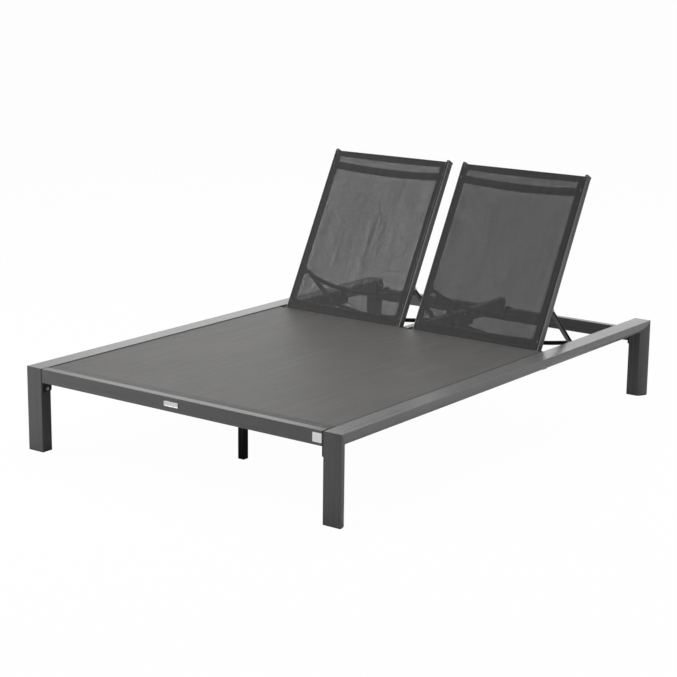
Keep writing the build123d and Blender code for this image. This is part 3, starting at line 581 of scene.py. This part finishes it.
def spread(start, end, count, at_ends=()):
    """Even places from start to end, with closer ones set in at both ends."""
    even = [start + (end - start) * i / count for i in range(count + 1)]
    extra = [start + step for step in at_ends] + [end - step for step in at_ends]
    return sorted(set(round(place, 6) for place in even + extra))


STITCH_PITCH = 0.0036
STITCH_RADII = (0.00025, 0.00034, 0.0014)


def stitch_row(start, end, y, z, turned=None):
    """A row of lock stitches across the cloth: one stitch is shaped, then repeated along the row."""
    clear()
    bpy.ops.mesh.primitive_uv_sphere_add(
        segments=6, ring_count=4, radius=1.0, location=(start + STITCH_PITCH / 2, y, z),
    )
    stitch = bpy.context.object
    stitch.rotation_euler = (0, math.pi / 2, 0)
    stitch.scale = STITCH_RADII
    bpy.ops.object.transform_apply(location=True, rotation=True, scale=True)
    row = stitch.modifiers.new("row", "ARRAY")
    row.count = int((end - start) / STITCH_PITCH)
    row.use_relative_offset = False
    row.use_constant_offset = True
    row.constant_offset_displace = (STITCH_PITCH, 0, 0)
    apply_all(stitch)
    if turned is not None:
        stitch.data.transform(turned)
    return stitch


BEAD_RADIUS = 0.0017
BEAD_STAND_OFF = 0.0004
BEAD_RIPPLES = 22


def weld_bead(x, y, z, radius, turned=None):
    """The rippled bead round the end of a bar, where it meets a flat face."""
    clear()
    bpy.ops.mesh.primitive_torus_add(
        location=(x, y, z), rotation=(0, math.pi / 2, 0), major_segments=56, minor_segments=8,
        major_radius=radius + BEAD_STAND_OFF, minor_radius=BEAD_RADIUS,
    )
    bead = bpy.context.object
    bpy.ops.object.transform_apply(location=True, rotation=True, scale=True)
    for vertex in bead.data.vertices:
        dy, dz = vertex.co.y - y, vertex.co.z - z
        wave = math.sin(math.atan2(dz, dy) * BEAD_RIPPLES)
        swell = 1.0 + 0.018 * wave
        vertex.co.y = y + dy * swell
        vertex.co.z = z + dz * swell
        vertex.co.x = x + (vertex.co.x - x) * (1.0 + 0.14 * wave)
    if turned is not None:
        bead.data.transform(turned)
    return bead


# Seat

def seat_sag(x, y):
    """How far the stretched seat hangs below its edges."""
    along = (y - SEAT_FRONT) / (SEAT_REAR - SEAT_FRONT)
    return SEAT_SAG * max(0.0, 1 - (x / SHEET_HALF) ** 2) * 4 * along * (1 - along)


def seat_cloth():
    """The seat sheet, with its narrower front strip in the rail's rebate, its hems and its stitching."""
    across, along = SEAT_CELLS
    columns = sorted(spread(-SHEET_HALF, SHEET_HALF, across, SEAT_SIDE_STEPS) + [-STRIP_HALF, STRIP_HALF])
    rows = sorted(spread(SEAT_FRONT, SEAT_REAR, along, END_STEPS) + [SEAT_WIDENS])
    middle = SHEET_TOP - SHEET_THICKNESS / 2
    sheet = cloth_sheet(
        columns, rows,
        lambda x, y: (x, y, middle - seat_sag(x, y)),
        SHEET_THICKNESS,
        lambda x, y: y > SEAT_WIDENS or abs(x) < STRIP_HALF,
    )
    settled(sheet, "seat_fabric", seat_weave, "frame")
    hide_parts("seat_sling")
    hem_low = SHEET_TOP - FRONT_HEM_SINK
    hem_top = SHEET_TOP + FRONT_HEM_RISE
    front = slab(
        (-STRIP_HALF, FRONT_HEM_START, hem_low), (STRIP_HALF, FRONT_HEM_END, hem_top), HEM_ROUND,
    )
    settled(front, "seat_front_hem", hem_weave, "frame")
    low, high = (SHEET_TOP - drop for drop in REAR_HEM_DROPS)
    start, end = REAR_HEM
    rear = slab((-REAR_HEM_HALF, start, low), (REAR_HEM_HALF, end, high), REAR_HEM_ROUND)
    settled(rear, "seat_rear_hem", hem_weave, "frame")
    stitches = joined([
        stitch_row(-STITCHED_HALF, STITCHED_HALF, FRONT_STITCHES, hem_top),
        stitch_row(-STITCHED_HALF, STITCHED_HALF, REAR_STITCHES, SHEET_TOP),
    ])
    settled(stitches, "seat_stitching", dark_thread, "frame")


# Backrests

def back_cloth(side, sign):
    """A backrest sheet: taut between the stiles, its edges turned down in their grooves, with its hems."""
    left_edge = INNER_STILE - GROOVE_OFFSET
    right_edge = OUTER_STILE + GROOVE_OFFSET
    across, along = BACK_CELLS
    places = spread(left_edge, right_edge, across, BACK_SIDE_STEPS)
    count = len(places)
    rows = spread(BACK_START, BACK_END, along, END_STEPS)
    half = (right_edge - left_edge) / 2
    centre = (right_edge + left_edge) / 2
    columns = list(range(-2, count + 2))
    if sign < 0:
        columns.reverse()

    def put(i, up):
        """Columns before the first place and after the last one go down into a groove."""
        if i < 0 or i >= count:
            x = left_edge if i < 0 else right_edge
            depth = GROOVE_DEPTHS[0] if i in (-1, count) else GROOVE_DEPTHS[1]
            return RAISED @ Vector((sign * x, up, BACK_SHEET - depth))
        x = places[i]
        near = min(x - left_edge, right_edge - x)
        turn_down = TURN_DOWN_DEPTH * max(0.0, 1 - near / TURN_DOWN_WIDTH) ** 2
        share = max(0.0, 1 - ((x - centre) / (half - BACK_SAG_MARGIN)) ** 2)
        sag = BACK_SAG * share * math.sin(math.pi * (up - BACK_START) / (BACK_END - BACK_START))
        return RAISED @ Vector((sign * x, up, BACK_SHEET - turn_down - sag))

    sheet = cloth_sheet(columns, rows, put, thickness=None)
    body = "backrest_" + side
    settled(sheet, "back_fabric_" + side, back_weaves[side], body)
    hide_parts("back_sling_" + side)
    inner = INNER_STILE + HALF_STILE + STILE_CLEARANCE
    outer = OUTER_STILE - HALF_STILE - STILE_CLEARANCE
    low, high = sorted((sign * inner, sign * outer))
    side_start = BOTTOM_HEM_END + HEM_GAP
    side_end = TOP_HEM_START - HEM_GAP
    bands = [
        (low, high, BOTTOM_HEM_START, BOTTOM_HEM_END),
        (low, high, TOP_HEM_START, TOP_HEM_END),
        (low, low + SIDE_HEM, side_start, side_end),
        (high - SIDE_HEM, high, side_start, side_end),
    ]
    hems = []
    for left, right, start, end in bands:
        band = slab((left, start, BACK_HEM[0]), (right, end, BACK_HEM[1]), HEM_ROUND)
        band.data.transform(Matrix.Translation(band.location))
        band.location = (0, 0, 0)
        band.data.transform(RAISED)
        hems.append(band)
    hem = settled(joined(hems), "back_hems_" + side, back_hem_weave, body)
    stitch_rows = [stitch_row(low, high, up, STITCH_HEIGHT, RAISED) for up in BACK_STITCHES]
    stitches = settled(joined(stitch_rows), "back_stitching_" + side, dark_thread, body)


def back_welds(side, sign):
    """The beads at both ends of the three bars of a backrest."""
    beads = []
    for up, height, radius in BACK_BARS:
        for x in (INNER_STILE + HALF_STILE, OUTER_STILE - HALF_STILE):
            beads.append(weld_bead(sign * x, up, height, radius, RAISED))
    settled(joined(beads), "back_welds_" + side, coat_stile, "backrest_" + side, angle=60.0)


def prop_welds(side, sign):
    """The beads at both ends of the bar that joins the prop arms."""
    beads = [weld_bead(sign * x, PROP_BAR_REACH, 0.0, PROP_BAR_RADIUS, PROPPED) for x in ARM_FACES]
    settled(joined(beads), "prop_welds_" + side, coat_across, "prop_" + side, angle=60.0)


def brace_welds():
    """The beads between the bowed tube under the seat and its end plates."""
    beads = [weld_bead(x, BRACE_PLACE, BRACE_HEIGHT, BRACE_RADIUS) for x in (-BRACE_END, BRACE_END)]
    settled(joined(beads), "brace_welds", black_across, "frame", angle=60.0)


# Blank plate and label on the front rail, in metres

PLATE_MIDDLE = (-0.011, -0.9996, 0.27225)
PLATE_SIZE = (0.061, 0.0008, 0.0165)
PLATE_CORNER = 0.0022
RIM_WIDTH = 0.0011
RIM_STEP = 0.0003
FIELD_DEPTH = 0.00018
RIM_ROUND = 0.00012
LABEL_MIDDLE = (0.574, -0.99955, 0.27075)
LABEL_WIDTH = 0.035
LABEL_HEIGHT = 0.0305
LABEL_CORNER = 0.002
LABEL_THICKNESS = 0.0003
LIFT_REACH = 0.0327
LIFT_START = 0.72
LIFT_HEIGHT = 0.0012


def blank_plate():
    """The blank aluminium plate: rounded corners, a softened rim and a field set slightly back."""
    clear()
    bpy.ops.mesh.primitive_cube_add(size=1, location=PLATE_MIDDLE, scale=PLATE_SIZE)
    plate = bpy.context.object
    bpy.ops.object.transform_apply(location=True, rotation=True, scale=True)
    bpy.ops.object.mode_set(mode="EDIT")
    bpy.ops.mesh.select_all(action="DESELECT")
    bpy.ops.object.mode_set(mode="OBJECT")
    for edge in plate.data.edges:
        a, b = (plate.data.vertices[i].co for i in edge.vertices)
        edge.select = abs(a.x - b.x) < 1e-6 and abs(a.z - b.z) < 1e-6
    bpy.ops.object.mode_set(mode="EDIT")
    bpy.ops.mesh.select_mode(type="EDGE")
    bpy.ops.mesh.bevel(offset=PLATE_CORNER, segments=5, affect="EDGES")
    bpy.ops.mesh.select_mode(type="FACE")
    bpy.ops.mesh.select_all(action="DESELECT")
    bpy.ops.object.mode_set(mode="OBJECT")
    for face in plate.data.polygons:
        face.select = face.normal.y < -0.9
    bpy.ops.object.mode_set(mode="EDIT")
    bpy.ops.mesh.inset(thickness=RIM_WIDTH, depth=0)
    bpy.ops.mesh.inset(thickness=RIM_STEP, depth=-FIELD_DEPTH)
    bpy.ops.object.mode_set(mode="OBJECT")
    rim = plate.modifiers.new("rim", "BEVEL")
    rim.width = RIM_ROUND
    rim.segments = 2
    rim.limit_method = "ANGLE"
    apply_all(plate)
    settled(plate, "blank_plate", aluminium, "frame")
    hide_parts("name_plate")


def blank_sticker():
    """The blank film on the front rail, with rounded corners and a corner that has lifted a little."""
    clear()
    bpy.ops.mesh.primitive_grid_add(
        x_subdivisions=24, y_subdivisions=20, size=1, location=LABEL_MIDDLE, rotation=(math.pi / 2, 0, 0),
    )
    sticker = bpy.context.object
    sticker.scale = (LABEL_WIDTH, LABEL_HEIGHT, 1.0)
    bpy.ops.object.transform_apply(location=True, rotation=True, scale=True)
    straight_x = LABEL_WIDTH / 2 - LABEL_CORNER
    straight_z = LABEL_HEIGHT / 2 - LABEL_CORNER
    for vertex in sticker.data.vertices:
        dx, dz = vertex.co.x - LABEL_MIDDLE[0], vertex.co.z - LABEL_MIDDLE[2]
        over_x, over_z = abs(dx) - straight_x, abs(dz) - straight_z
        if over_x > 0 and over_z > 0:
            far = math.hypot(over_x, over_z)
            if far > LABEL_CORNER:
                vertex.co.x -= math.copysign(over_x * (1 - LABEL_CORNER / far), dx)
                vertex.co.z -= math.copysign(over_z * (1 - LABEL_CORNER / far), dz)
        lifted = max(0.0, (dx + dz) / LIFT_REACH - LIFT_START)
        vertex.co.y -= LIFT_HEIGHT * lifted ** 2
    film_depth = sticker.modifiers.new("film", "SOLIDIFY")
    film_depth.thickness = LABEL_THICKNESS
    film_depth.offset = 0.0
    apply_all(sticker)
    settled(sticker, "blank_sticker", film, "frame")
    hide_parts("blank_label")


seat_cloth()
for side, sign in SIDES:
    back_cloth(side, sign)
    back_welds(side, sign)
    prop_welds(side, sign)
brace_welds()
blank_plate()
blank_sticker()


# Floor, backdrop and light, in metres and watts

FLOOR_SIZE = 160
FLOOR_SHINE = 0.05
FLOOR_WHITE = 0.98
ROOM_LIGHT = 0.18


def seen_directly(tree, gloss):
    """1 for rays from the camera and through glass, gloss for those from a shiny surface, 0 for others."""
    path = tree.nodes.new("ShaderNodeLightPath")
    shine = tree.nodes.new("ShaderNodeMath")
    shine.operation = "MULTIPLY"
    tree.links.new(path.outputs["Is Glossy Ray"], shine.inputs[0])
    shine.inputs[1].default_value = gloss
    total = shine.outputs[0]
    for name in ("Is Camera Ray", "Is Transmission Ray"):
        added = tree.nodes.new("ShaderNodeMath")
        added.operation = "MAXIMUM"
        tree.links.new(total, added.inputs[0])
        tree.links.new(path.outputs[name], added.inputs[1])
        total = added.outputs[0]
    return total


def studio_floor():
    """A plain white floor that shows white to the camera and keeps a faint shadow."""
    clear()
    bpy.ops.mesh.primitive_plane_add(size=FLOOR_SIZE, location=(0, 0, 0))
    floor = bpy.context.object
    floor.name = "studio_floor"
    paint = bpy.data.materials.new("floor_paint")
    paint.use_nodes = True
    tree = paint.node_tree
    base = tree.nodes["Principled BSDF"]
    base.inputs["Base Color"].default_value = (0.82, 0.82, 0.82, 1)
    base.inputs["Roughness"].default_value = 0.9
    base.inputs["Specular IOR Level"].default_value = 0.1
    glow = tree.nodes.new("ShaderNodeEmission")
    glow.inputs["Strength"].default_value = 1.0
    share = tree.nodes.new("ShaderNodeMath")
    share.operation = "MULTIPLY"
    tree.links.new(seen_directly(tree, FLOOR_SHINE), share.inputs[0])
    share.inputs[1].default_value = FLOOR_WHITE
    mix = tree.nodes.new("ShaderNodeMixShader")
    tree.links.new(share.outputs[0], mix.inputs[0])
    tree.links.new(base.outputs[0], mix.inputs[1])
    tree.links.new(glow.outputs[0], mix.inputs[2])
    tree.links.new(mix.outputs[0], tree.nodes["Material Output"].inputs["Surface"])
    floor.data.materials.append(paint)


def studio_world(level):
    """White where it is seen, and an even soft light of its own level."""
    world = bpy.data.worlds.new("studio_world")
    bpy.context.scene.world = world
    world.use_nodes = True
    tree = world.node_tree
    light = tree.nodes["Background"]
    light.inputs["Color"].default_value = (1, 1, 1, 1)
    light.inputs["Strength"].default_value = level
    white = tree.nodes.new("ShaderNodeBackground")
    white.inputs["Color"].default_value = (1, 1, 1, 1)
    white.inputs["Strength"].default_value = 1.0
    mix = tree.nodes.new("ShaderNodeMixShader")
    tree.links.new(seen_directly(tree, 1.0), mix.inputs[0])
    tree.links.new(light.outputs[0], mix.inputs[1])
    tree.links.new(white.outputs[0], mix.inputs[2])
    tree.links.new(mix.outputs[0], tree.nodes["World Output"].inputs["Surface"])


def soft_box(name, place, target, width, height, power):
    """A large soft light that faces its target."""
    data = bpy.data.lights.new(name, "AREA")
    data.shape = "RECTANGLE"
    data.size = width
    data.size_y = height
    data.energy = power
    lamp = bpy.data.objects.new(name, data)
    bpy.context.scene.collection.objects.link(lamp)
    lamp.location = place
    lamp.rotation_euler = (Vector(target) - Vector(place)).to_track_quat("-Z", "Y").to_euler()


studio_floor()
studio_world(ROOM_LIGHT)
soft_box("key_box", (-2.8, -2.6, 2.7), (-0.1, -0.1, 0.2), width=2.6, height=2.6, power=128.0)
soft_box("top_box", (0.3, 1.2, 4.2), (0, 0, 0.2), width=4.0, height=4.0, power=98.0)
soft_box("right_box", (4.6, 0.6, 2.2), (0.3, 0.3, 0.5), width=2.4, height=2.4, power=58.0)
soft_box("rear_box", (-3.5, 5.2, 1.9), (0, 0.2, 0.3), width=4.4, height=1.4, power=14.0)
bpy.context.scene.view_settings.view_transform = "Standard"
